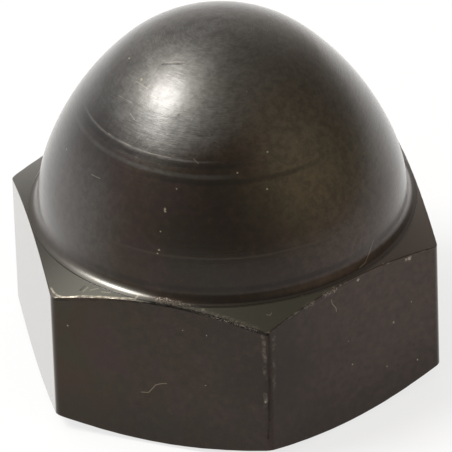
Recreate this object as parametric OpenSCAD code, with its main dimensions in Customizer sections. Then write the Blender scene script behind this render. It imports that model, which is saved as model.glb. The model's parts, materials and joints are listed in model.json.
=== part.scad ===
// Domed cap nut with an M10 x 1.5 thread, one turned piece of hexagon steel bar.
// It stands on its bearing face: +Z runs up the thread's axis to the tip of the dome,
// and the origin is the middle of the bearing face. All sizes are in millimetres.

/* [Wrench hexagon] */
// Width of the hexagon across its flats
across_flats = 17; // [16.6:0.1:19]
// Height of the hexagon, from the bearing face to the shoulder under the dome
hexagon_height = 7.42; // [6:0.02:9]
// Radius of the six upright corners of the drawn bar
corner_radius = 0.4; // [0.1:0.05:0.8]

/* [Shoulder and chamfers] */
// How far inside the flats the turned shoulder ends
shoulder_inset = 0.05; // [0.02:0.01:0.12]
// Depth of the small step from the shoulder down to the top chamfer
shoulder_step = 0.04; // [0.02:0.01:0.1]
// Slope of the top chamfer below the shoulder, in degrees
top_chamfer_angle = 24; // [15:1:30]
// How far inside the flats the bearing face ends
bearing_inset = 0.35; // [0.1:0.05:0.8]
// Slope of the bottom chamfer above the bearing face, in degrees
bottom_chamfer_angle = 23; // [15:1:30]

/* [Dome] */
// Diameter of the dome at its root
dome_diameter = 16.14; // [15:0.02:16.6]
// Height of the dome above the shoulder
dome_height = 8.98; // [8.4:0.02:9.6]
// Radius of the steep stretch just above the root
flank_radius = 7; // [5:0.5:8]
// Slope at which the steep stretch ends, in degrees from upright
flank_angle = 21; // [12:1:28]
// Radius of the long stretch between the steep one and the nose
side_radius = 13.1; // [12:0.1:15]
// Radius of the fillet between the shoulder and the dome
root_fillet = 0.33; // [0.1:0.01:0.33]

/* [Threaded hole] */
// Nominal diameter of the thread
thread_diameter = 10; // [8:0.5:10.5]
// Pitch of the thread
thread_pitch = 1.5; // [1:0.25:1.5]
// Depth of the hole's straight wall, from the bearing face
hole_depth = 11.5; // [8:0.1:12.2]
// Included angle of the drill point at the blind end, in degrees
drill_point_angle = 118; // [90:1:140]
// How much wider than the thread the countersunk mouth is, in diameter
countersink_margin = 0.8; // [0.4:0.1:2]
// Included angle of the countersink, in degrees
countersink_angle = 120; // [90:1:120]

/* [Hidden] */
$fn = 180;

// Radii of the bearing face, the shoulder, the dome's root and the corners' tips
flat_radius = across_flats / 2;
bearing_radius = flat_radius - bearing_inset;
shoulder_radius = flat_radius - shoulder_inset;
dome_radius = dome_diameter / 2;
point_radius = flat_radius / cos(30);

// The hole is drilled to the nominal diameter less one pitch, and then tapped
tap_drill_radius = (thread_diameter - thread_pitch) / 2;
countersink_radius = (thread_diameter + countersink_margin) / 2;
countersink_depth = (countersink_radius - tap_drill_radius) / tan(countersink_angle / 2);
drill_point_depth = tap_drill_radius / tan(drill_point_angle / 2);

// How far a solid runs into its neighbour, so that the two join
overlap = 1;
// Where an arc touches a line or another arc, its radius is off by this little, so that
// the two cross at a clear point instead of grazing each other
graze = 0.0002;
// How far an arc runs on past its joint, inside its neighbour, in degrees
arc_overlap = 5;

// The dome's outline is three arcs that meet without a kink, with z counted from the
// shoulder: the flank's centre is level with the shoulder, the side's centre lies on the
// line from their joint through the flank's centre, and the nose is centred on the axis.
flank_centre = [dome_radius - flank_radius, 0];
flank_end = flank_centre + flank_radius * [cos(flank_angle), sin(flank_angle)];
side_centre = flank_end - side_radius * [cos(flank_angle), sin(flank_angle)];
// The nose's arc passes through the tip and touches the side's arc from inside
tip_rise = dome_height - side_centre.y;
nose_radius = (side_radius ^ 2 - side_centre.x ^ 2 - tip_rise ^ 2) / (2 * (side_radius - tip_rise));
nose_centre = [0, dome_height - nose_radius];
side_end_angle = atan2(nose_centre.y - side_centre.y, -side_centre.x);

// The fillet touches the shoulder and the flank, and gives way where the shoulder is
// too narrow for it
fillet_radius = min(root_fillet, 0.95 * (shoulder_radius - dome_radius));
fillet_centre = [flank_centre.x + sqrt((flank_radius + fillet_radius) ^ 2 - fillet_radius ^ 2),
                 fillet_radius];
fillet_on_flank = flank_centre
    + flank_radius * (fillet_centre - flank_centre) / (flank_radius + fillet_radius);

// Slice of a disc between two angles
module pie(centre, radius, from_angle, to_angle) {
    reach = 2 * radius;
    middle_angle = (from_angle + to_angle) / 2;
    translate(centre)
        intersection() {
            circle(r = radius);
            polygon([[0, 0],
                     reach * [cos(from_angle), sin(from_angle)],
                     reach * [cos(middle_angle), sin(middle_angle)],
                     reach * [cos(to_angle), sin(to_angle)]]);
        }
}

// Cross-section of the bar: a hexagon with rounded corners and flats facing +X and -X
module rounded_hexagon() {
    corner_centre = point_radius - corner_radius / cos(30);
    polygon([for (corner = [30:60:330])
                 for (side = [-30, 30])
                     corner_centre * [cos(corner), sin(corner)]
                         + corner_radius * [cos(corner + side), sin(corner + side)]]);
    for (corner = [30:60:330])
        rotate(corner)
            translate([corner_centre, 0])
                circle(r = corner_radius + graze);
}

// Wrench hexagon with both ends turned to a cone, so that each face has an arched edge
module hexagon() {
    reach = point_radius + overlap;
    step_z = hexagon_height - shoulder_step;
    intersection() {
        linear_extrude(hexagon_height)
            rounded_hexagon();
        rotate_extrude()
            polygon([[0, 0],
                     [bearing_radius, 0],
                     [reach, (reach - bearing_radius) * tan(bottom_chamfer_angle)],
                     [reach, step_z - (reach - shoulder_radius) * tan(top_chamfer_angle)],
                     [shoulder_radius, step_z],
                     [shoulder_radius, hexagon_height],
                     [0, hexagon_height]]);
    }
}

// Half outline of the dome, from the axis outwards, with its root at zero
module dome_outline() {
    translate([0, -overlap])
        square([dome_radius, overlap]);
    intersection() {
        union() {
            pie(flank_centre, flank_radius, 0, flank_angle + arc_overlap);
            pie(side_centre, side_radius - graze, flank_angle, side_end_angle);
            pie(nose_centre, nose_radius, side_end_angle - arc_overlap, 90 + arc_overlap);
        }
        square([2 * dome_radius, 2 * dome_height]);
    }
}

// Half outline of the fillet that fills the corner between the shoulder and the dome
module fillet_outline() {
    difference() {
        polygon([[dome_radius - overlap, -overlap],
                 [fillet_centre.x, -overlap],
                 [fillet_centre.x, 0],
                 fillet_on_flank,
                 [dome_radius - overlap, fillet_on_flank.y]]);
        translate(fillet_centre)
            circle(r = fillet_radius + graze);
    }
}

module dome() {
    translate([0, 0, hexagon_height])
        rotate_extrude()
            union() {
                dome_outline();
                fillet_outline();
            }
}

// Blind tapped hole with a countersunk mouth. Its wall lies at the thread's crests.
module threaded_hole() {
    translate([0, 0, -overlap])
        cylinder(r = tap_drill_radius, h = hole_depth + overlap);
    translate([0, 0, hole_depth])
        cylinder(r1 = tap_drill_radius, r2 = 0, h = drill_point_depth);
    translate([0, 0, -overlap])
        cylinder(r1 = countersink_radius + overlap * tan(countersink_angle / 2),
                 r2 = tap_drill_radius,
                 h = countersink_depth + overlap);
}

module cap_nut() {
    color([0.19, 0.17, 0.15])
        difference() {
            union() {
                hexagon();
                dome();
            }
            threaded_hole();
        }
}

cap_nut();
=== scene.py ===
"""Looks of the cap nut: one closed mesh with its thread cut, in oiled black oxide steel.

The mesh stands for the CAD node and keeps its form. Sizes are in millimetres until a mesh
is made, and angles are in degrees. Azimuth 0 looks along +Y.
"""

import json
import math

import bmesh
import bpy
import numpy as np
from mathutils import Matrix, Vector, noise


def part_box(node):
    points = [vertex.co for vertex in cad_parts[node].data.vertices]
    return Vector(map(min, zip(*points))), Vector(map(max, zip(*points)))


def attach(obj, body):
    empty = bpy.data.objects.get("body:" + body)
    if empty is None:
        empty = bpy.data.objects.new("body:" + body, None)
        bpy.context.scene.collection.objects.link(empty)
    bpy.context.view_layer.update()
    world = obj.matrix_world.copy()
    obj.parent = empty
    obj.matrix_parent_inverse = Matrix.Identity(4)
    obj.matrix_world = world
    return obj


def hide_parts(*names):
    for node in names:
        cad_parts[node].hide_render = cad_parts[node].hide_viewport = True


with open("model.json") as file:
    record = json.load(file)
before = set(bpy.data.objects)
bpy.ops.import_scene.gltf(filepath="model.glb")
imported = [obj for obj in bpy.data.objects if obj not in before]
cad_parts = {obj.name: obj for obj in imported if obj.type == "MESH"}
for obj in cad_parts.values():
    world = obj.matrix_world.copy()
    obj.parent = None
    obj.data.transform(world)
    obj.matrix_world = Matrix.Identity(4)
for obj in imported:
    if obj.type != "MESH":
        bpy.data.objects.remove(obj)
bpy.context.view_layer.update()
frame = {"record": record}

MM = 0.001
MERGE_DISTANCE = 1e-7
NODE = "cap_nut"

# Driving sizes: the outer ones come from the frame, the hole's from its mount
_, node_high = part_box(NODE)
MOUNTS = {mount["name"]: mount for mount in frame["record"]["mounts"]}
FLAT_RADIUS = node_high.x / MM
HEIGHT = node_high.z / MM
HOLE_RADIUS = MOUNTS["thread"]["dims"]["r_mm"]

# Hexagon, shoulder and chamfers
HEXAGON_HEIGHT = 7.42
CORNER_RADIUS = 0.4
SHOULDER_RADIUS = FLAT_RADIUS - 0.05
SHOULDER_STEP = 0.04
TOP_CHAMFER = 24
BEARING_RADIUS = FLAT_RADIUS - 0.35
BOTTOM_CHAMFER = 23

# Dome: three arcs that meet without a kink, and the fillet at its root
DOME_RADIUS = 8.07
DOME_HEIGHT = HEIGHT - HEXAGON_HEIGHT
FLANK_RADIUS = 7.0
FLANK_ANGLE = 21
SIDE_RADIUS = 13.1
ROOT_FILLET = 0.52

# Thread and hole
THREAD_RADIUS = 5.0
PITCH = 1.5
THREAD_END = 9.6
THREAD_RUN_OUT = 1.8
THREADED_WALL_END = THREAD_END + 0.4
HOLE_DEPTH = 11.5
DRILL_POINT_ANGLE = 118
DRILL_CORNER = 0.05
COUNTERSINK_RADIUS = 5.4
COUNTERSINK_ANGLE = 120

# How far the sharp edges are worn round
RIM_ROUND = 0.012
TOP_EDGE_ROUND = 0.05
BOTTOM_EDGE_ROUND = 0.06
BEARING_EDGE_ROUND = 0.05
# Distance from such an edge to the next ring, which keeps the flat beside it evenly shaded
EDGE_SUPPORT = 0.03

# Camera, fitted to the photo: where it looks from, its roll, and the point it is aimed at
FRAME_SIZE = 452
CAMERA_AZIMUTH = -9.94
CAMERA_ELEVATION = 33.07
CAMERA_ROLL = -2.01
CAMERA_DISTANCE = 401.6
CAMERA_AIM = (0.1, 0.0, 6.02)
PIXELS_PER_MM = 22.963
SENSOR_WIDTH = 36.0


def cos(angle):
    return math.cos(math.radians(angle))


def sin(angle):
    return math.sin(math.radians(angle))


def tan(angle):
    return math.tan(math.radians(angle))


def arc(centre, radius, from_angle, to_angle, steps):
    """Points (r, z) along an arc, without its last point."""
    points = []
    for i in range(steps):
        angle = from_angle + (to_angle - from_angle) * i / steps
        points.append((centre[0] + radius * cos(angle), centre[1] + radius * sin(angle)))
    return points


def rounded_turn(before, corner, after, radius, steps=4):
    """Points (r, z) that take a corner of an outline round with a small radius."""
    before, corner, after = (np.array(point, float) for point in (before, corner, after))
    inward = (before - corner) / np.linalg.norm(before - corner)
    outward = (after - corner) / np.linalg.norm(after - corner)
    half_angle = math.acos(max(-1.0, min(1.0, float(inward @ outward)))) / 2
    reach = radius / math.tan(half_angle)
    start, end = corner + inward * reach, corner + outward * reach
    points = []
    for i in range(steps + 1):
        share = i / steps
        # A quadratic curve with its control point at the corner is close enough to an arc
        curve = (1 - share) ** 2 * start + 2 * share * (1 - share) * corner + share**2 * end
        points.append(tuple(curve))
    return points


class Surface:
    """Collects rings of vertices and the faces between them, and makes one mesh."""

    def __init__(self):
        self.vertices = []
        self.faces = []

    def ring(self, points):
        first = len(self.vertices)
        self.vertices.extend(points)
        return list(range(first, len(self.vertices)))

    def strip(self, upper, lower):
        """Quads between two rings of equal count, which close on themselves."""
        count = len(upper)
        for i in range(count):
            following = (i + 1) % count
            self.faces.append((upper[i], lower[i], lower[following], upper[following]))

    def zip_rings(self, one, other):
        """Triangles between two rings of any counts, paired by their angle round the axis."""

        def in_order(ring):
            turned = [(math.atan2(self.vertices[v][1], self.vertices[v][0]), v) for v in ring]
            turned.sort()
            first_angle, first_vertex = turned[0]
            return turned + [(first_angle + 2 * math.pi, first_vertex)]

        a, b = in_order(one), in_order(other)
        i = j = 0
        while i < len(one) or j < len(other):
            if j == len(other) or (i < len(one) and a[i + 1][0] <= b[j + 1][0]):
                self.faces.append((a[i][1], b[j][1], a[i + 1][1]))
                i += 1
            else:
                self.faces.append((a[i][1], b[j][1], b[j + 1][1]))
                j += 1

    def join(self, one, other):
        if len(one) == len(other):
            self.strip(one, other)
        else:
            self.zip_rings(one, other)

    def cap(self, tip, ring):
        """Triangles between one vertex and a ring."""
        for i, vertex in enumerate(ring):
            self.faces.append((tip, vertex, ring[(i + 1) % len(ring)]))

    def make(self, name):
        """One closed mesh in metres, with doubled vertices merged and normals outwards."""
        mesh = bpy.data.meshes.new(name)
        mesh.from_pydata([tuple(c * MM for c in v) for v in self.vertices], [], self.faces)
        builder = bmesh.new()
        builder.from_mesh(mesh)
        bmesh.ops.remove_doubles(builder, verts=builder.verts, dist=MERGE_DISTANCE)
        bmesh.ops.recalc_face_normals(builder, faces=builder.faces)
        builder.to_mesh(mesh)
        open_edges = sum(not edge.is_manifold for edge in builder.edges)
        builder.free()
        if open_edges:
            raise RuntimeError(f"{name} isn't closed: {open_edges} open edges")
        mesh.shade_smooth()
        piece = bpy.data.objects.new(name, mesh)
        bpy.context.scene.collection.objects.link(piece)
        return piece


# Angles of the hexagon's rings: close together on the six corners, wider on the flats
CORNER_SPAN = 1.5
CORNER_STEPS = 30
FLAT_STEPS = 130


def hexagon_angles():
    angles = []
    for corner in range(30, 390, 60):
        start = corner - CORNER_SPAN
        angles += [start + 2 * CORNER_SPAN * i / CORNER_STEPS for i in range(CORNER_STEPS)]
        start = corner + CORNER_SPAN
        width = 60 - 2 * CORNER_SPAN
        angles += [start + width * i / FLAT_STEPS for i in range(FLAT_STEPS)]
    return angles


def hexagon_radius(angle):
    """Distance from the axis to the hexagon's side, with its upright corners rounded."""
    # The corners lie at 30, 90 and so on
    from_corner = angle % 60 - 30
    point_radius = FLAT_RADIUS / cos(30)
    centre = point_radius - CORNER_RADIUS / cos(30)
    arc_end = math.degrees(
        math.atan2(CORNER_RADIUS * sin(30), centre + CORNER_RADIUS * cos(30))
    )
    if abs(from_corner) < arc_end:
        offset = centre * sin(from_corner)
        return centre * cos(from_corner) + math.sqrt(CORNER_RADIUS**2 - offset**2)
    return FLAT_RADIUS / cos(30 - abs(from_corner))


def edge_noise(angle, scale, seed):
    """Smooth noise from -1 to 1 along a hexagon's edge, the same on every run."""
    radius = hexagon_radius(angle)
    place = Vector((radius * cos(angle), radius * sin(angle), seed)) * scale
    return noise.noise(place)


# Outline of the dome and of the body, from the tip down
flank_centre = (DOME_RADIUS - FLANK_RADIUS, 0.0)
side_centre = (
    flank_centre[0] + (FLANK_RADIUS - SIDE_RADIUS) * cos(FLANK_ANGLE),
    (FLANK_RADIUS - SIDE_RADIUS) * sin(FLANK_ANGLE),
)
tip_rise = DOME_HEIGHT - side_centre[1]
nose_radius = (SIDE_RADIUS**2 - side_centre[0] ** 2 - tip_rise**2) / (
    2 * (SIDE_RADIUS - tip_rise)
)
nose_centre = (0.0, DOME_HEIGHT - nose_radius)
side_end_angle = math.degrees(
    math.atan2(nose_centre[1] - side_centre[1], -side_centre[0])
)
# The fillet touches the flank and ends at the shoulder's rim, where it isn't yet level
rim_reach = SHOULDER_RADIUS - flank_centre[0]
fillet_reach = FLANK_RADIUS + ROOT_FILLET
fillet_out = (fillet_reach**2 - ROOT_FILLET**2 + rim_reach**2) / (2 * rim_reach)
fillet_up = math.sqrt(fillet_reach**2 - fillet_out**2)
fillet_centre = (flank_centre[0] + fillet_out, fillet_up)
fillet_start_angle = math.degrees(math.atan2(fillet_up, fillet_out))
fillet_end_angle = 180 + math.degrees(math.atan2(fillet_up, fillet_centre[0] - SHOULDER_RADIUS))

# The first ring of the dome lies just beside the tip
NOSE_START_ANGLE = 88.5
NOSE_STEPS = 24
SIDE_STEPS = 18
FLANK_STEPS = 9
FILLET_STEPS = 10


def dome_outline():
    """Points (r, z) from just beside the tip to the shoulder's rim."""
    points = arc(nose_centre, nose_radius, NOSE_START_ANGLE, side_end_angle, NOSE_STEPS)
    points += arc(side_centre, SIDE_RADIUS, side_end_angle, FLANK_ANGLE, SIDE_STEPS)
    points += arc(flank_centre, FLANK_RADIUS, FLANK_ANGLE, fillet_start_angle, FLANK_STEPS)
    fillet_start = 180 + fillet_start_angle
    points += arc(fillet_centre, ROOT_FILLET, fillet_start, fillet_end_angle, FILLET_STEPS)
    rim, below_rim = (SHOULDER_RADIUS, 0.0), (SHOULDER_RADIUS, -SHOULDER_STEP)
    points += rounded_turn(points[-1], rim, below_rim, RIM_ROUND)
    return [(r, z + HEXAGON_HEIGHT) for r, z in points]


def body_outline(angle):
    """Points (r, z) at one angle, from the shoulder over the hexagon to the bearing face."""
    wall = hexagon_radius(angle)
    step_z = HEXAGON_HEIGHT - SHOULDER_STEP
    top_z = step_z - (wall - SHOULDER_RADIUS) * tan(TOP_CHAMFER)
    bottom_z = (wall - BEARING_RADIUS) * tan(BOTTOM_CHAMFER)
    worn = 1 + 0.8 * edge_noise(angle, 2.3, 1.0) + 0.6 * edge_noise(angle, 7.0, 4.0)
    top_round = min(TOP_EDGE_ROUND * max(worn, 0.25), 0.9 * (wall - SHOULDER_RADIUS))
    worn = 1 + 0.7 * edge_noise(angle, 1.9, 9.0)
    bottom_round = BOTTOM_EDGE_ROUND * max(worn, 0.3)

    cone_start, cone_end = (SHOULDER_RADIUS, step_z), (wall, top_z)
    points = [cone_start]
    edge = rounded_turn(cone_start, cone_end, (wall, 0), top_round)
    for share in (0.04, 0.35, 0.7, 0.96):
        points.append(
            (
                cone_start[0] + (edge[0][0] - cone_start[0]) * share,
                cone_start[1] + (edge[0][1] - cone_start[1]) * share,
            )
        )
    points += edge
    lower_edge = rounded_turn((wall, top_z), (wall, bottom_z), (BEARING_RADIUS, 0), bottom_round)
    wall_top, wall_bottom = edge[-1][1], lower_edge[0][1]
    middle = (wall_top + wall_bottom) / 2
    for z in (wall_top - EDGE_SUPPORT, middle, wall_bottom + EDGE_SUPPORT):
        points.append((wall, z))
    points += lower_edge
    bearing = rounded_turn(
        (wall, bottom_z), (BEARING_RADIUS, 0), (0, 0), BEARING_EDGE_ROUND, steps=3
    )
    last = lower_edge[-1]
    for share in (0.05, 0.5, 0.95):
        points.append(
            (
                last[0] + (bearing[0][0] - last[0]) * share,
                last[1] + (bearing[0][1] - last[1]) * share,
            )
        )
    points += bearing
    points.append((bearing[-1][0] - EDGE_SUPPORT, 0.0))
    return points


def circle(radius, z, angles):
    return [(radius * cos(angle), radius * sin(angle), z) for angle in angles]


# Below these radii the dome's rings carry a half, a quarter, an eighth of the angles
DOME_THINNING = ((3.9, 2), (1.9, 4), (0.9, 8))


def add_dome(surface, angles):
    """Adds the dome and returns its lowest ring."""
    upper = None
    for radius, z in dome_outline():
        share = 1
        for limit, ratio in DOME_THINNING:
            if radius < limit:
                share = ratio
        ring = surface.ring(circle(radius, z, angles[::share]))
        if upper is None:
            tip = surface.ring([(0.0, 0.0, HEIGHT)])[0]
            surface.cap(tip, ring)
        else:
            surface.join(upper, ring)
        upper = ring
    return upper


def add_body(surface, above, angles):
    """Adds the hexagon below the dome and returns its last ring, on the bearing face."""
    outlines = [body_outline(angle) for angle in angles]
    upper = above
    for level in range(len(outlines[0])):
        points = []
        for angle, outline in zip(angles, outlines):
            radius, z = outline[level]
            points.append((radius * cos(angle), radius * sin(angle), z))
        ring = surface.ring(points)
        surface.join(upper, ring)
        upper = ring
    return upper


# Points round the axis in the hole
THREAD_ANGLES = 240
drill_point_depth = HOLE_RADIUS / tan(DRILL_POINT_ANGLE / 2)
# Shares of a pitch at which the groove's root ends and its flank reaches the crest
ROOT_HALF = 0.09
CREST_START = 0.36


def groove_radius(phase, z):
    """Radius of the threaded wall, where phase is the place in the pitch from -0.5 to 0.5."""
    depth = THREAD_RADIUS - HOLE_RADIUS
    flank = (CREST_START - abs(phase)) / (CREST_START - ROOT_HALF)
    profile = depth * max(0.0, min(1.0, flank))
    fading = max(0.0, min(1.0, (THREAD_END - z) / THREAD_RUN_OUT))
    return HOLE_RADIUS + min(profile, depth * fading)


def mouth_radius(z):
    return COUNTERSINK_RADIUS - z * tan(COUNTERSINK_ANGLE / 2)


def thread_rows():
    """Places along the helix, in pitches, with a row at each edge of the groove."""
    flank = [ROOT_HALF + (CREST_START - ROOT_HALF) * i / 3 for i in range(4)]
    shares = [-share for share in reversed(flank)] + [-0.03, 0.03] + flank + [0.43, 0.5]
    turns = int(HOLE_DEPTH / PITCH) + 2
    return [turn + share for turn in range(-1, turns) for share in shares]


def add_hole(surface):
    """Adds the countersunk mouth, the right-hand thread and the drill point."""
    angles = [360 * i / THREAD_ANGLES for i in range(THREAD_ANGLES + 1)]
    lower = None
    for row in thread_rows():
        points = []
        for angle in angles:
            z = min(max((row + angle / 360) * PITCH, 0.0), THREADED_WALL_END)
            phase = (z / PITCH - angle / 360 + 0.5) % 1 - 0.5
            radius = max(groove_radius(phase, z), mouth_radius(z))
            points.append((radius * cos(angle), radius * sin(angle), z))
        ring = surface.ring(points)
        if lower is not None:
            for i in range(THREAD_ANGLES):
                surface.faces.append((ring[i], lower[i], lower[i + 1], ring[i + 1]))
        lower = ring
    lower = surface.ring(circle(HOLE_RADIUS, THREADED_WALL_END, angles[:-1]))
    for radius, z in (
        (HOLE_RADIUS, HOLE_DEPTH - DRILL_CORNER),
        (HOLE_RADIUS - DRILL_CORNER, HOLE_DEPTH),
    ):
        ring = surface.ring(circle(radius, z, angles[:-1]))
        surface.join(ring, lower)
        lower = ring
    for share, thinning in ((0.5, 2), (0.12, 8)):
        z = HOLE_DEPTH + drill_point_depth * (1 - share)
        ring = surface.ring(circle(HOLE_RADIUS * share, z, angles[:-1:thinning]))
        surface.join(ring, lower)
        lower = ring
    tip = surface.ring([(0.0, 0.0, HOLE_DEPTH + drill_point_depth)])[0]
    surface.cap(tip, lower)
    return surface.ring(circle(COUNTERSINK_RADIUS, 0.0, angles[:-1]))


def make_nut():
    surface = Surface()
    angles = hexagon_angles()
    dome_foot = add_dome(surface, angles[::2])
    bearing = add_body(surface, dome_foot, angles)
    surface.join(bearing, add_hole(surface))
    return surface.make("cap_nut_body")


class Graph:
    """Short ways to add nodes to a material or to the world."""

    def __init__(self, tree):
        self.tree = tree
        tree.nodes.clear()

    def add(self, kind, settings=None, inputs=None):
        node = self.tree.nodes.new(kind)
        for name, value in (settings or {}).items():
            setattr(node, name, value)
        for name, value in (inputs or {}).items():
            self.feed(node.inputs[name], value)
        return node

    def feed(self, socket, value):
        if isinstance(value, bpy.types.NodeSocket):
            self.tree.links.new(value, socket)
        else:
            socket.default_value = value

    def math(self, operation, *values):
        settings = {"operation": operation}
        return self.add("ShaderNodeMath", settings, dict(enumerate(values))).outputs[0]

    def fold(self, operation, values):
        """One value made from several by the same operation, taken one after another."""
        result = values[0]
        for value in values[1:]:
            result = self.math(operation, result, value)
        return result

    def total(self, *values):
        return self.fold("ADD", values)

    def product(self, *values):
        return self.fold("MULTIPLY", values)

    def largest(self, *values):
        return self.fold("MAXIMUM", values)

    def difference(self, first, second):
        return self.math("ABSOLUTE", self.math("SUBTRACT", first, second))

    def vector(self, operation, first, second=None, scale=None):
        node = self.add("ShaderNodeVectorMath", {"operation": operation}, {0: first})
        if second is not None:
            self.feed(node.inputs[1], second)
        if scale is not None:
            self.feed(node.inputs["Scale"], scale)
        return node.outputs["Value" if operation in ("DOT_PRODUCT", "DISTANCE") else "Vector"]

    def step(self, value, low, high, low_result=0.0, high_result=1.0):
        """Smooth step of a value between two limits."""
        inputs = {
            "Value": value,
            "From Min": low,
            "From Max": high,
            "To Min": low_result,
            "To Max": high_result,
        }
        settings = {"interpolation_type": "SMOOTHSTEP", "clamp": False}
        return self.add("ShaderNodeMapRange", settings, inputs).outputs["Result"]

    def combine(self, x, y, z):
        node = self.add("ShaderNodeCombineXYZ", None, {"X": x, "Y": y, "Z": z})
        return node.outputs["Vector"]

    def noise(self, place, scale, detail=2.0, roughness=0.5):
        inputs = {"Vector": place, "Scale": scale, "Detail": detail, "Roughness": roughness}
        return self.add("ShaderNodeTexNoise", None, inputs).outputs["Fac"]

    def mix(self, share, first, second):
        """Blend of two colours."""
        node = self.add("ShaderNodeMix", {"data_type": "RGBA"})
        self.feed(node.inputs["Factor"], share)
        self.feed(node.inputs["A"], first)
        self.feed(node.inputs["B"], second)
        return node.outputs["Result"]


def camera_directions():
    """The camera's own right, up and backward directions."""
    back = Vector(
        (
            sin(CAMERA_AZIMUTH) * cos(CAMERA_ELEVATION),
            -cos(CAMERA_AZIMUTH) * cos(CAMERA_ELEVATION),
            sin(CAMERA_ELEVATION),
        )
    )
    level_right = Vector((cos(CAMERA_AZIMUTH), sin(CAMERA_AZIMUTH), 0.0))
    level_up = back.cross(level_right)
    right = cos(CAMERA_ROLL) * level_right + sin(CAMERA_ROLL) * level_up
    up = cos(CAMERA_ROLL) * level_up - sin(CAMERA_ROLL) * level_right
    return right, up, back


camera_right, camera_up, camera_back = camera_directions()
camera_place = Vector(CAMERA_AIM) + camera_back * CAMERA_DISTANCE
focal_pixels = PIXELS_PER_MM * CAMERA_DISTANCE


def add_camera():
    data = bpy.data.cameras.new("camera")
    data.sensor_width = SENSOR_WIDTH
    data.lens = focal_pixels * SENSOR_WIDTH / FRAME_SIZE
    camera = bpy.data.objects.new("camera", data)
    turned = Matrix((camera_right, camera_up, camera_back)).transposed()
    camera.matrix_world = Matrix.Translation(camera_place * MM) @ turned.to_4x4()
    bpy.context.scene.collection.objects.link(camera)
    bpy.context.scene.camera = camera


def on_surface(piece, pixel):
    """Point in millimetres where the line of sight through a pixel of the photo meets a piece."""
    column, row = pixel
    middle = (FRAME_SIZE - 1) / 2
    sight = (
        camera_right * (column - middle) / focal_pixels
        - camera_up * (row - middle) / focal_pixels
        - camera_back
    )
    hit, place, _, _ = piece.ray_cast(camera_place * MM, sight.normalized())
    if not hit:
        raise RuntimeError(f"no surface at pixel {pixel}")
    return place / MM


# Radiance of the surroundings towards the left, right, front, back and top
WORLD_LEFT = (1.0, 0.97, 0.94)
WORLD_RIGHT = (0.21, 0.19, 0.16)
WORLD_FRONT = (0.4, 0.37, 0.33)
WORLD_BACK = (0.72, 0.69, 0.66)
WORLD_TOP = (0.29, 0.28, 0.27)
# Soft lights in the surroundings: direction, radiance, and how tightly each gathers
WORLD_LIGHTS = (
    ((-0.42, 0.35, 0.83), (2.4, 2.37, 2.3), 25),
    ((0.7, -0.6, 0.38), (0.55, 0.48, 0.36), 6),
)


def add_world():
    """Surroundings that change smoothly from each main direction to the next."""
    world = bpy.data.worlds.new("studio")
    world.use_nodes = True
    bpy.context.scene.world = world
    graph = Graph(world.node_tree)
    direction = graph.add("ShaderNodeTexCoord").outputs["Generated"]
    parts = graph.add("ShaderNodeSeparateXYZ", None, {"Vector": direction}).outputs
    total = (0.0, 0.0, 0.0)
    for middle, radiance, tightness in WORLD_LIGHTS:
        toward = graph.vector("DOT_PRODUCT", direction, Vector(middle).normalized())
        share = graph.math("POWER", graph.largest(toward, 0.0), tightness)
        total = graph.vector("ADD", total, graph.vector("SCALE", radiance, scale=share))
    sides = (
        ("X", -1, WORLD_LEFT),
        ("X", 1, WORLD_RIGHT),
        ("Y", -1, WORLD_FRONT),
        ("Y", 1, WORLD_BACK),
        ("Z", 1, WORLD_TOP),
        ("Z", -1, WORLD_TOP),
    )
    for axis, sign, colour in sides:
        toward = graph.largest(graph.product(parts[axis], sign), 0.0)
        share = graph.product(toward, toward)
        total = graph.vector("ADD", total, graph.vector("SCALE", colour, scale=share))
    background = graph.add("ShaderNodeBackground", None, {"Color": total})
    graph.add("ShaderNodeOutputWorld", None, {"Surface": background.outputs[0]})


SOFTBOX_DIRECTION = (-0.593, 0.036, 0.804)
SOFTBOX_DISTANCE = 500
SOFTBOX_SIZE = 220
SOFTBOX_RADIANCE = 15.5


def add_softbox():
    data = bpy.data.lights.new("softbox", "AREA")
    data.shape = "DISK"
    data.size = SOFTBOX_SIZE * MM
    data.energy = SOFTBOX_RADIANCE * math.pi * math.pi * (SOFTBOX_SIZE * MM / 2) ** 2
    softbox = bpy.data.objects.new("softbox", data)
    direction = Vector(SOFTBOX_DIRECTION).normalized()
    softbox.location = direction * SOFTBOX_DISTANCE * MM
    softbox.rotation_euler = direction.to_track_quat("Z", "Y").to_euler()
    bpy.context.scene.collection.objects.link(softbox)


FLOOR_HALF = 1500
FLOOR_GAP = 0.002
FLOOR_COLOUR = (0.9, 0.9, 0.9, 1)
FLOOR_WHITE_SHARE = 0.75


def add_floor():
    """Plain white floor, which the camera and reflections see as white apart from shadows."""
    mesh = bpy.data.meshes.new("floor")
    half, z = FLOOR_HALF * MM, -FLOOR_GAP * MM
    corners = [(-half, -half, z), (half, -half, z), (half, half, z), (-half, half, z)]
    mesh.from_pydata(corners, [], [(0, 1, 2, 3)])
    floor = bpy.data.objects.new("floor", mesh)
    bpy.context.scene.collection.objects.link(floor)
    material = bpy.data.materials.new("white_floor")
    material.use_nodes = True
    graph = Graph(material.node_tree)
    diffuse = graph.add("ShaderNodeBsdfDiffuse", None, {"Color": FLOOR_COLOUR})
    white = graph.add("ShaderNodeEmission", None, {"Color": (1, 1, 1, 1), "Strength": 1.0})
    path = graph.add("ShaderNodeLightPath").outputs
    seen = graph.largest(
        path["Is Camera Ray"], path["Is Glossy Ray"], path["Is Transmission Ray"]
    )
    share = graph.product(seen, FLOOR_WHITE_SHARE)
    mixed = graph.add(
        "ShaderNodeMixShader", None, {0: share, 1: diffuse.outputs[0], 2: white.outputs[0]}
    )
    graph.add("ShaderNodeOutputMaterial", None, {"Surface": mixed.outputs[0]})
    mesh.materials.append(material)
    return floor


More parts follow.
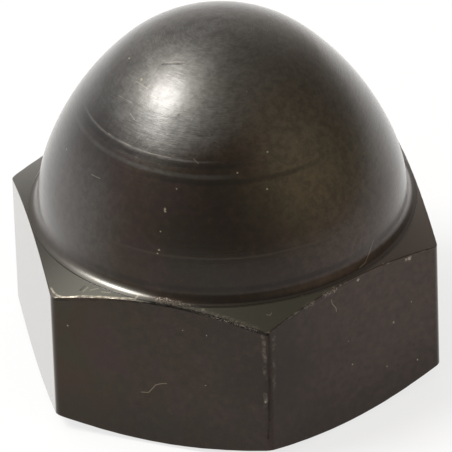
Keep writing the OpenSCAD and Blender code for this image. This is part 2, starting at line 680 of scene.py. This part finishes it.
# Marks that show in the photo, as pixel coordinates there: the nut's surface lies behind each
LINT_FIBRES = (
    ((141, 391.5), (148, 392), (151, 389), (155, 384.5), (160, 383.2), (166, 383)),
    ((331, 299.5), (331.5, 303), (334, 306), (335.5, 307.5), (336, 311)),
    ((373, 240), (369, 252), (365, 262), (359, 267.5)),
    ((266, 314), (269.5, 315), (271, 312.5)),
)
SCRATCHES = (
    ((91, 174), (99.5, 178)),
    ((129.5, 113), (134, 119)),
    ((108, 133), (126, 143.5)),
    ((126, 143.5), (150, 153)),
    ((150, 153), (170, 157.5)),
    ((165, 62.5), (175, 61.3), (184, 61.5)),
    ((118, 95), (131, 102)),
    ((139, 89), (156, 97.5)),
    ((136, 81), (147, 88)),
    ((193, 158.5), (198, 163)),
    ((82.5, 291), (87.5, 286.6)),
    ((90, 289.5), (98, 287.8)),
    ((101, 291.3), (110, 292.3)),
)
DARK_MARKS_AND_SHADE = (
    # Painted shadows under the upper edges of the front flats
    ((54, 299), (64, 299.5), (90, 299.3), (120, 300), (136, 301.5), (150, 302.5)),
    ((271, 331), (283, 323), (296, 313.5), (310, 304.5), (325, 295), (340, 286.5), (356, 278)),
    # Painted dark reflection in the rounding of the front corner
    ((268, 335), (269, 352), (268, 366), (269.2, 384), (268.4, 404), (269, 420), (267.6, 438)),
    # Small dark marks
    ((175.5, 117.5), (178.5, 114)),
    ((156.3, 98.2), (157.6, 97)),
    ((162, 64), (172, 63.7), (181, 63.5)),
    ((80, 289.5), (84, 286)),
)
DUST_SPECKS = (
    ((128.6, 57.8), 0.055),
    ((164.5, 208.4), 0.045),
    ((164.6, 210.8), 0.045),
    ((141, 79), 0.06),
    ((158.5, 249.5), 0.04),
    ((157, 253), 0.03),
    ((160, 231), 0.03),
    ((66, 149), 0.03),
    ((67, 325), 0.03),
    ((182, 330), 0.03),
    ((206, 335), 0.025),
    ((205, 385), 0.025),
    ((393, 322), 0.045),
    ((386.5, 366), 0.03),
    ((352, 364), 0.035),
    ((348, 341), 0.025),
    ((417, 359), 0.04),
    ((411, 301), 0.03),
    ((267, 151.5), 0.04),
    ((266.5, 188.5), 0.035),
    ((237, 172.5), 0.035),
    ((176, 188), 0.03),
)
# Stains, and painted highlights, sheen and dark reflections laid on the same way: middle, how far
# the full and the last tint reach in mm, strength and colour
STAINS_AND_PAINTED_LIGHT = (
    # Olive stain, partly a painted reflection of warm surroundings
    ((322, 165), 1.8, 6.2, 0.85, (0.09, 0.073, 0.044, 1)),
    ((385, 310), 4.5, 9.0, 0.85, (0.053, 0.035, 0.027, 1)),
    ((300, 365), 3.0, 6.0, 0.7, (0.036, 0.0235, 0.017, 1)),
    ((278, 378), 1.6, 4.4, 0.5, (0.012, 0.007, 0.004, 1)),
    # Brown stain, partly a painted reflection of warm surroundings
    ((285, 85), 2.0, 6.0, 0.8, (0.085, 0.072, 0.055, 1)),
    # Painted dark reflections: two on the dome's left and one on its lower front
    ((112, 66), 0.8, 3.4, 0.65, (0.035, 0.032, 0.033, 1)),
    ((82, 140), 1.6, 5.4, 0.85, (0.018, 0.017, 0.018, 1)),
    ((230, 262), 2.5, 6.5, 0.45, (0.014, 0.011, 0.009, 1)),
    # Lighter rubbed patch, partly a painted highlight where the lamp's reflection falls
    ((168, 84), 1.2, 4.6, 0.45, (0.225, 0.215, 0.195, 1)),
    # Painted sheen on the dome's lower left
    ((62, 205), 1.6, 5.6, 0.9, (0.09, 0.083, 0.079, 1)),
)
# Rings: height and half width in mm, how far each stands out in mm, colour, and the
# azimuths round which each shows: middle and half span. The rings stand out in the relief;
# their light and dark colours are painted highlights and painted shade along them.
TURNED_RINGS_AND_PAINTED_LIGHT = (
    (13.14, 0.06, 0.002, (0.15, 0.145, 0.135, 1), -52, 45),
    (12.96, 0.13, -0.003, (0.008, 0.008, 0.008, 1), -38, 58),
    (12.61, 0.12, 0.002, (0.075, 0.074, 0.068, 1), -48, 50),
    (12.4, 0.15, -0.003, (0.008, 0.008, 0.006, 1), -5, 45),
    (9.48, 0.08, 0.001, (0.045, 0.036, 0.026, 1), -10, 60),
    # Painted shade in the crease at the dome's root
    (8.06, 0.2, 0.0, (0.004, 0.004, 0.003, 1), 5, 75),
)
# Painted shadows under the hexagon's upper edge, painted reflections of light in the rounding of
# its front corner, and bright burrs that are partly a painted edge highlight
EDGE_SHADOWS = (
    ((150, 302.5), (170, 305.5), (193, 311), (216, 317.5), (238, 325), (258, 332), (267, 334)),
)
CORNER_REFLECTION_LINES = (
    ((262, 335), (263.5, 343), (263, 351), (264.5, 358), (263.6, 368), (265, 378)),
    ((264.5, 394), (265.5, 400), (264.5, 405)),
)
CORNER_REFLECTION_SPECKLE = (((273.5, 333), (274, 365), (273.5, 402)),)
BURR_AND_HIGHLIGHT_LINES = (
    ((50.5, 287.5), (53, 291.7), (57, 295), (62, 296.4), (68, 296.5), (76, 295.8), (84, 295.3)),
    ((84, 295.3), (92, 295.8), (100, 296.1), (110, 297), (122, 297.6), (133, 298)),
    ((134.5, 298.5), (137, 295.5)),
)
# Bright crumbs of metal lie along the upper edges on both sides of the front corner
CRUMB_LINES = (
    ((158, 299.5), (175, 302.5), (190, 307), (212, 314), (235, 321.5), (256, 328)),
    ((306, 306), (312, 301.8)),
    ((325, 294), (334, 289.3)),
)
BARE_CHIPS = (
    ((409, 258), 0.085),
    ((406, 259), 0.06),
    ((382.5, 263), 0.035),
    ((357.6, 279.4), 0.06),
    ((340, 284.6), 0.04),
    ((333, 287), 0.035),
    ((136, 296.6), 0.05),
    ((166, 298), 0.035),
    ((203, 309.5), 0.05),
    ((216, 315.5), 0.05),
    ((236, 321), 0.04),
    ((265, 401.6), 0.05),
)
# Directions across two sets of fine scratches, the pixel round which they show, and how far
HATCHING_DIRECTIONS = ((0.57, 0.38, 0.73), (-0.7, 0.48, 0.54))
HATCHING_MIDDLE = (166, 100)
HATCHING_REACH = 4.5
# The dome is burnished from the first height up, and fully from the second. Both are counted
# at x = 0: they rise towards the right with this slope, and stay level left of BURNISHED_LEFT.
BURNISHED_START = 13.4
BURNISHED_FULL = 15.2
BURNISHED_LEFT = -3.4
BURNISHED_TILT = 0.34

# Tones of the oxide, the bare metal and what lies on them, and of painted highlights, reflections
# and shade
OLIVE_OXIDE = (0.03, 0.0225, 0.012, 1)
PURPLE_OXIDE = (0.036, 0.0215, 0.0165, 1)
BROWN_OXIDE = (0.034, 0.0205, 0.012, 1)
# Painted shade towards the foot of the hexagon
FOOT_SHADE_TONE = (0.01, 0.007, 0.005, 1)
DARK_CLOUD = (0.013, 0.01, 0.0075, 1)
LIGHT_CLOUD = (0.06, 0.045, 0.035, 1)
RUBBED_DARK = (0.061, 0.06, 0.056, 1)
RUBBED_LIGHT = (0.172, 0.167, 0.159, 1)
HATCHING_GLINT_TONE = (0.32, 0.31, 0.29, 1)
CHAMFER_LEFT = (0.064, 0.062, 0.05, 1)
CHAMFER_MIDDLE = (0.102, 0.095, 0.068, 1)
CHAMFER_RIGHT = (0.115, 0.093, 0.078, 1)
# Painted highlight on the fillet at the dome's root
FILLET_HIGHLIGHT_TONE = (0.13, 0.124, 0.11, 1)
# Bare metal, also used for painted highlights and reflections along the edges
BARE_METAL_AND_HIGHLIGHT = (0.42, 0.36, 0.29, 1)
# Painted shadows and dark reflections along the edges, and small dark marks
SHADE_AND_MARK_TONE = (0.002, 0.002, 0.002, 1)
DARK_STEP_TONE = (0.004, 0.004, 0.003, 1)
DUST = (0.33, 0.29, 0.2, 1)


class Place:
    """Sockets for where a point of the surface lies, in millimetres."""

    def __init__(self, graph):
        metres = graph.add("ShaderNodeTexCoord").outputs["Object"]
        self.point = graph.vector("SCALE", metres, scale=1 / MM)
        parts = graph.add("ShaderNodeSeparateXYZ", None, {"Vector": self.point}).outputs
        self.x, self.y, self.z = parts["X"], parts["Y"], parts["Z"]
        squares = graph.total(graph.math("POWER", self.x, 2), graph.math("POWER", self.y, 2))
        self.radius = graph.math("SQRT", squares)
        # How far the point lies below the cone of the top chamfer
        cone_drop = graph.product(self.radius, tan(TOP_CHAMFER))
        cone_top = HEXAGON_HEIGHT - SHOULDER_STEP + SHOULDER_RADIUS * tan(TOP_CHAMFER)
        cone_height = graph.math("SUBTRACT", cone_top, cone_drop)
        self.below_chamfer = graph.math("SUBTRACT", cone_height, self.z)
        # How far the point lies inside the nearest flat
        reach = None
        for flat in (0, 60, 120):
            along = graph.total(
                graph.product(self.x, cos(flat)),
                graph.product(self.y, sin(flat)),
            )
            along = graph.math("ABSOLUTE", along)
            reach = along if reach is None else graph.largest(reach, along)
        self.inside_flat = graph.math("SUBTRACT", FLAT_RADIUS, reach)
        # A measure that changes along the outline and stays the same round the axis
        self.outline = graph.math("SUBTRACT", self.z, self.radius)


def line_mask(graph, place, piece, lines, width):
    """1 along lines that are lists of pixels of the photo, and 0 away from them."""
    nearest = None
    for line in lines:
        points = [on_surface(piece, pixel) for pixel in line]
        for start, end in zip(points, points[1:]):
            along = end - start
            offset = graph.vector("SUBTRACT", place.point, start)
            scaled = graph.vector("DOT_PRODUCT", offset, along / along.length_squared)
            share = graph.math("MINIMUM", graph.largest(scaled, 0.0), 1.0)
            foot = graph.vector("SCALE", along, scale=share)
            distance = graph.vector("DISTANCE", offset, foot)
            nearest = distance if nearest is None else graph.math("MINIMUM", nearest, distance)
    return graph.step(nearest, 0.4 * width, width, 1.0, 0.0)


def spot_mask(graph, place, piece, spots, ragged):
    """1 inside any of the spots, each a pixel of the photo and a radius, with a ragged rim."""
    inside = None
    for pixel, radius in spots:
        distance = graph.vector("DISTANCE", place.point, on_surface(piece, pixel))
        distance = graph.math("DIVIDE", distance, radius)
        inside = distance if inside is None else graph.math("MINIMUM", inside, distance)
    inside = graph.total(inside, ragged)
    return graph.step(inside, 0.75, 1.25, 1.0, 0.0)


class OxideSteel:
    """Oiled black oxide over steel. Each method adds one layer over the colour so far."""

    def __init__(self, graph, piece):
        self.graph = graph
        self.piece = piece
        self.place = Place(graph)
        self.point = self.place.point
        self.make_noises()

    def make_noises(self):
        """Values from 0 to 1 over the surface that more than one layer uses."""
        graph, place, point = self.graph, self.place, self.point
        tilt = graph.product(graph.largest(place.x, BURNISHED_LEFT), BURNISHED_TILT)
        height = graph.math("SUBTRACT", place.z, tilt)
        self.burnished = graph.step(height, BURNISHED_START, BURNISHED_FULL)
        self.rings = self.turned_noise(0.08, 1.6, detail=6.0, roughness=0.6)
        self.streaks = self.turned_noise(2.6, 15.0, detail=4.0, roughness=0.65)
        self.fine_grain = graph.noise(point, 24.0, detail=3.0, roughness=0.6)
        self.mottle = graph.noise(point, 1.1, detail=6.0, roughness=0.65)
        self.grain = graph.noise(point, 9.0, detail=4.0, roughness=0.7)
        self.patches = graph.noise(point, 0.32, detail=5.0, roughness=0.6)
        elsewhere = graph.vector("ADD", point, (7.0, 3.0, 1.0))
        self.warmth = graph.noise(elsewhere, 0.55, detail=5.0, roughness=0.6)

    def turned_noise(self, around, along, detail, roughness):
        """Noise that changes quickly along the outline and slowly round the axis."""
        graph, place = self.graph, self.place
        stretched = graph.combine(
            graph.product(place.x, around),
            graph.product(place.y, around),
            graph.product(place.outline, along),
        )
        return graph.noise(stretched, 1.0, detail, roughness)

    def cover(self, share, tone):
        """Lays a tone over the colour so far, as much as the share from 0 to 1 says."""
        self.colour = self.graph.mix(share, self.colour, tone)

    def drawn(self, lines, width):
        """1 on the surface along lines through pixels of the photo, and 0 away from them."""
        return line_mask(self.graph, self.place, self.piece, lines, width)

    def distance_from(self, pixel):
        """Distance from the point of the surface that lies behind a pixel of the photo."""
        return self.graph.vector("DISTANCE", self.point, on_surface(self.piece, pixel))

    def add_oxide(self):
        """Olive, purple and brown patches, and rubbed grey where the dome is burnished."""
        graph = self.graph
        oxide = graph.mix(graph.step(self.patches, 0.42, 0.58), OLIVE_OXIDE, PURPLE_OXIDE)
        oxide = graph.mix(graph.step(self.warmth, 0.45, 0.62), oxide, BROWN_OXIDE)
        rubbing = graph.total(graph.product(self.streaks, 0.5), graph.product(self.mottle, 0.5))
        rubbed = graph.mix(graph.step(rubbing, 0.3, 0.7), RUBBED_DARK, RUBBED_LIGHT)
        self.colour = graph.mix(self.burnished, oxide, rubbed)

    def add_hatching(self):
        """Fine scratches that cross each other on one side of the burnished top, in the relief
        and in a lighter tone that is partly a painted glint round the highlight.
        """
        graph = self.graph
        hatching = None
        for across in HATCHING_DIRECTIONS:
            offset = graph.vector("DOT_PRODUCT", self.point, across)
            pressed = graph.vector("SCALE", across, scale=graph.product(offset, 9.0))
            pressed = graph.vector("ADD", pressed, graph.vector("SCALE", self.point, scale=0.8))
            scratches = graph.step(graph.noise(pressed, 1.0), 0.56, 0.72)
            hatching = scratches if hatching is None else graph.largest(hatching, scratches)
        near = graph.step(self.distance_from(HATCHING_MIDDLE), 1.0, HATCHING_REACH, 1.0, 0.0)
        self.hatching = graph.product(hatching, near)
        # Lighter scratches, partly a painted glint round the highlight
        self.cover(graph.product(self.hatching, 0.14), HATCHING_GLINT_TONE)

    def add_stains_and_painted_light(self):
        """Broad stains of other tints with uneven rims, and painted highlights, sheen and dark
        reflections laid on the same way.
        """
        graph = self.graph
        uneven = graph.product(self.patches, 2.0)
        for pixel, near, far, strength, tone in STAINS_AND_PAINTED_LIGHT:
            distance = graph.total(self.distance_from(pixel), uneven)
            self.cover(graph.step(distance, near, far, strength, 0.0), tone)

    def add_clouds(self):
        """Small clouds of darker and lighter oxide, fainter on the burnished top and the left."""
        graph = self.graph
        cloud = graph.noise(self.point, 3.0, detail=6.0, roughness=0.75)
        strength = graph.math("SUBTRACT", 1.0, graph.product(self.burnished, 0.4))
        strength = graph.product(strength, graph.step(self.place.x, -8.0, -4.5, 0.3, 1.0))
        dark = graph.product(graph.step(cloud, 0.35, 0.65, 0.5, 0.0), strength)
        self.cover(dark, DARK_CLOUD)
        light = graph.product(graph.step(cloud, 0.58, 0.75, 0.0, 0.35), strength)
        self.cover(light, LIGHT_CLOUD)

    def add_turned_chamfer(self):
        """The turned chamfer is greyer than the flats, and lighter towards the right."""
        graph, place = self.graph, self.place
        chamfer = graph.product(
            graph.step(graph.math("ABSOLUTE", place.below_chamfer), 0.02, 0.04, 1.0, 0.0),
            graph.step(place.inside_flat, 0.01, 0.05),
        )
        tone = graph.mix(graph.step(place.x, -4.0, -1.0), CHAMFER_LEFT, CHAMFER_MIDDLE)
        tone = graph.mix(graph.step(place.x, 1.5, 6.0), tone, CHAMFER_RIGHT)
        self.cover(chamfer, tone)

    def add_tool_rings_and_painted_light(self):
        """Rings left by the turning tool in the relief, with painted highlights and shade along
        them that fade out round the axis.
        """
        graph, place = self.graph, self.place
        wavy_height = graph.total(place.z, graph.product(self.warmth, 0.08))
        breaks = graph.step(self.mottle, 0.3, 0.6, 0.35, 1.0)
        self.ring_relief = None
        for height, half_width, depth, tone, azimuth, span in TURNED_RINGS_AND_PAINTED_LIGHT:
            middle = (sin(azimuth), -cos(azimuth), 0.0)
            toward = graph.vector("DOT_PRODUCT", self.point, middle)
            toward = graph.math("DIVIDE", toward, place.radius)
            shown = graph.product(graph.step(toward, cos(span), cos(span / 2)), breaks)
            distance = graph.difference(wavy_height, height)
            ring = graph.step(distance, 0.2 * half_width, half_width, 1.0, 0.0)
            ring = graph.product(ring, shown)
            self.cover(graph.product(ring, 0.55), tone)
            cut = graph.product(ring, depth)
            if self.ring_relief is None:
                self.ring_relief = cut
            else:
                self.ring_relief = graph.total(self.ring_relief, cut)

    def add_painted_fillet_highlight(self):
        """Painted highlight: the fillet at the dome's root is lighter left of the front, where
        the lamp's glint falls.
        """
        graph, place = self.graph, self.place
        bright = graph.product(
            graph.step(place.z, HEXAGON_HEIGHT + 0.33, HEXAGON_HEIGHT + 0.63, 1.0, 0.0),
            graph.step(place.radius, DOME_RADIUS + 0.01, DOME_RADIUS + 0.13),
            graph.step(place.radius, SHOULDER_RADIUS + 0.01, SHOULDER_RADIUS + 0.02, 1.0, 0.0),
            graph.step(place.x, -7.9, -6.7, 0.15, 1.0),
            graph.step(place.x, -5.7, -3.9, 1.0, 0.0),
        )
        self.cover(bright, FILLET_HIGHLIGHT_TONE)

    def add_dark_step_and_foot_shade(self):
        """The shoulder's small step is darker, and painted shade darkens the foot of the hexagon.
        """
        graph, place = self.graph, self.place
        from_step = graph.difference(place.z, HEXAGON_HEIGHT - 0.025)
        from_rim = graph.difference(place.radius, SHOULDER_RADIUS + 0.005)
        # Darker along the shoulder's small step
        self.rim = graph.product(
            graph.step(from_step, 0.02, 0.03, 0.6, 0.0),
            graph.step(from_rim, 0.01, 0.025, 1.0, 0.0),
        )
        self.cover(self.rim, DARK_STEP_TONE)
        # Painted shade, darker towards the foot of the hexagon
        self.cover(graph.step(place.z, 0.3, 3.2, 0.35, 0.0), FOOT_SHADE_TONE)

    def add_shade_and_dark_marks(self):
        """Painted shadows under the upper edges, a painted dark reflection in the front corner,
        and small dark marks, all broken up.
        """
        graph = self.graph
        self.edge_breaks = graph.noise(self.point, 1.7, detail=6.0, roughness=0.75)
        dark_lines = self.drawn(EDGE_SHADOWS, 0.1)
        dark_lines = graph.product(dark_lines, graph.step(self.edge_breaks, 0.4, 0.55, 0.45, 0.95))
        marks = self.drawn(DARK_MARKS_AND_SHADE, 0.07)
        marks = graph.product(marks, graph.step(self.edge_breaks, 0.4, 0.6, 0.15, 0.5))
        self.dark_lines = graph.largest(dark_lines, marks)
        self.cover(self.dark_lines, SHADE_AND_MARK_TONE)

    def add_bare_metal_and_highlights(self):
        """Bare metal along worn edges, and in chips, scratches, burrs and crumbs, with painted
        reflections along the front corner and a painted highlight along the burrs.
        """
        graph, place = self.graph, self.place
        edge = graph.largest(
            graph.math("ABSOLUTE", place.below_chamfer),
            graph.math("ABSOLUTE", place.inside_flat),
        )
        worn = graph.step(edge, 0.02, 0.07, 1.0, 0.0)
        bare = graph.product(worn, graph.step(self.edge_breaks, 0.52, 0.68, 0.0, 0.3))
        corner_breaks = graph.noise(self.point, 4.0, detail=6.0, roughness=0.75)
        # Each set of lines: its width in mm, the noise that breaks it up, and the limits
        # between which that noise takes its strength from the first to the last value
        line_sets = (
            # Painted reflections of light in the rounding of the front corner
            (CORNER_REFLECTION_LINES, 0.12, corner_breaks, 0.4, 0.7, 0.0, 0.18),
            (CORNER_REFLECTION_SPECKLE, 0.14, corner_breaks, 0.5, 0.68, 0.0, 0.12),
            # Burrs along the upper edge, partly a painted edge highlight
            (BURR_AND_HIGHLIGHT_LINES, 0.055, corner_breaks, 0.4, 0.58, 0.15, 0.6),
            (CRUMB_LINES, 0.2, self.fine_grain, 0.53, 0.61, 0.0, 0.6),
        )
        for lines, width, breaks, *limits in line_sets:
            shown = graph.product(self.drawn(lines, width), graph.step(breaks, *limits))
            bare = graph.largest(bare, shown)
        scratches = graph.product(self.drawn(SCRATCHES, 0.024), 0.26)
        self.ragged = graph.product(graph.math("SUBTRACT", self.fine_grain, 0.5), 4.0)
        chips = spot_mask(graph, place, self.piece, BARE_CHIPS, self.ragged)
        crumbs = graph.product(
            graph.step(edge, 0.05, 0.13, 1.0, 0.0),
            graph.step(self.fine_grain, 0.58, 0.66, 0.0, 0.3),
            graph.step(place.radius, 8.9, 9.2),
        )
        chips = graph.product(chips, 0.48)
        self.cover(graph.largest(bare, scratches, chips, crumbs), BARE_METAL_AND_HIGHLIGHT)

    def add_dust(self):
        """Lint, fine dust in scattered cells, and larger specks lie on top."""
        graph = self.graph
        fibres = graph.product(self.drawn(LINT_FIBRES, 0.03), 0.29)
        cells = graph.add("ShaderNodeTexVoronoi", None, {"Vector": self.point, "Scale": 1.6})
        chance = graph.add("ShaderNodeSeparateColor", None, {"Color": cells.outputs["Color"]})
        dusty = graph.step(chance.outputs["Red"], 0.62, 0.64, 0.0, 0.3)
        speck_size = graph.product(chance.outputs["Green"], 0.045)
        specks = graph.math("LESS_THAN", cells.outputs["Distance"], speck_size)
        specks = graph.product(specks, dusty)
        placed = spot_mask(graph, self.place, self.piece, DUST_SPECKS, self.ragged)
        self.dust = graph.largest(fibres, specks, graph.product(placed, 0.62))
        self.cover(self.dust, DUST)

    def metallic(self):
        """Metal everywhere but under the dust."""
        return self.graph.math("SUBTRACT", 0.92, self.graph.product(self.dust, 0.92))

    def roughness(self):
        """The flats are smoothest, and the dome roughest where it is burnished."""
        graph, z = self.graph, self.place.z
        unevenness = graph.product(graph.math("SUBTRACT", self.streaks, 0.5), 0.2)
        return graph.total(
            graph.step(z, HEXAGON_HEIGHT - 0.1, HEXAGON_HEIGHT, 0.17, 0.31),
            graph.step(z, 9.0, 12.0, 0.0, 0.06),
            graph.product(self.burnished, 0.05),
            unevenness,
        )

    def oil(self):
        """The film of oil, thinner on the flats to the right and none on dust, the shoulder's
        dark step or the dark lines along the edges.
        """
        graph, place = self.graph, self.place
        thin = graph.product(
            graph.step(place.x, -0.15, 0.15, 0.0, 0.5),
            graph.step(place.z, 7.2, 7.4, 1.0, 0.0),
            graph.step(place.inside_flat, 0.02, 0.2, 1.0, 0.0),
        )
        missing = graph.largest(self.dust, self.rim, self.dark_lines, thin)
        return graph.math("SUBTRACT", 1.0, missing)

    def bump(self):
        """Normals of a relief in millimetres: grain everywhere, turning marks on the dome."""
        graph = self.graph
        turned = graph.total(
            graph.product(self.streaks, 0.005),
            graph.product(self.rings, 0.012),
            self.ring_relief,
            graph.product(self.hatching, 0.0008),
        )
        on_dome = graph.step(self.place.z, HEXAGON_HEIGHT + 0.05, HEXAGON_HEIGHT + 0.3)
        relief = graph.total(graph.product(self.grain, 0.0016), graph.product(turned, on_dome))
        inputs = {"Strength": 1.0, "Distance": MM, "Height": relief}
        return graph.add("ShaderNodeBump", None, inputs).outputs[0]


def black_oxide_steel(piece):
    """Oiled black oxide, burnished at the top of the dome and worn at its edges, with painted
    highlights, reflections and shade.
    """
    material = bpy.data.materials.new("oiled_black_oxide")
    material.use_nodes = True
    graph = Graph(material.node_tree)
    steel = OxideSteel(graph, piece)
    steel.add_oxide()
    steel.add_hatching()
    steel.add_stains_and_painted_light()
    steel.add_clouds()
    steel.add_turned_chamfer()
    steel.add_tool_rings_and_painted_light()
    steel.add_painted_fillet_highlight()
    steel.add_dark_step_and_foot_shade()
    steel.add_shade_and_dark_marks()
    steel.add_bare_metal_and_highlights()
    steel.add_dust()
    bump = steel.bump()
    shader = graph.add(
        "ShaderNodeBsdfPrincipled",
        None,
        {
            "Base Color": steel.colour,
            "Metallic": steel.metallic(),
            "Roughness": steel.roughness(),
            "IOR": 1.4,
            "Coat Weight": steel.oil(),
            "Coat Roughness": 0.13,
            "Coat IOR": 1.26,
            "Sheen Weight": 0.15,
            "Sheen Tint": (1.0, 0.9, 0.8, 1.0),
            "Sheen Roughness": 0.35,
            "Normal": bump,
            "Coat Normal": bump,
        },
    )
    graph.add("ShaderNodeOutputMaterial", None, {"Surface": shader.outputs[0]})
    return material


nut = make_nut()
nut.data.materials.append(black_oxide_steel(nut))
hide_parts(NODE)
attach(nut, "root")

floor = add_floor()
add_world()
add_softbox()
add_camera()
bpy.context.scene.view_settings.view_transform = "Standard"
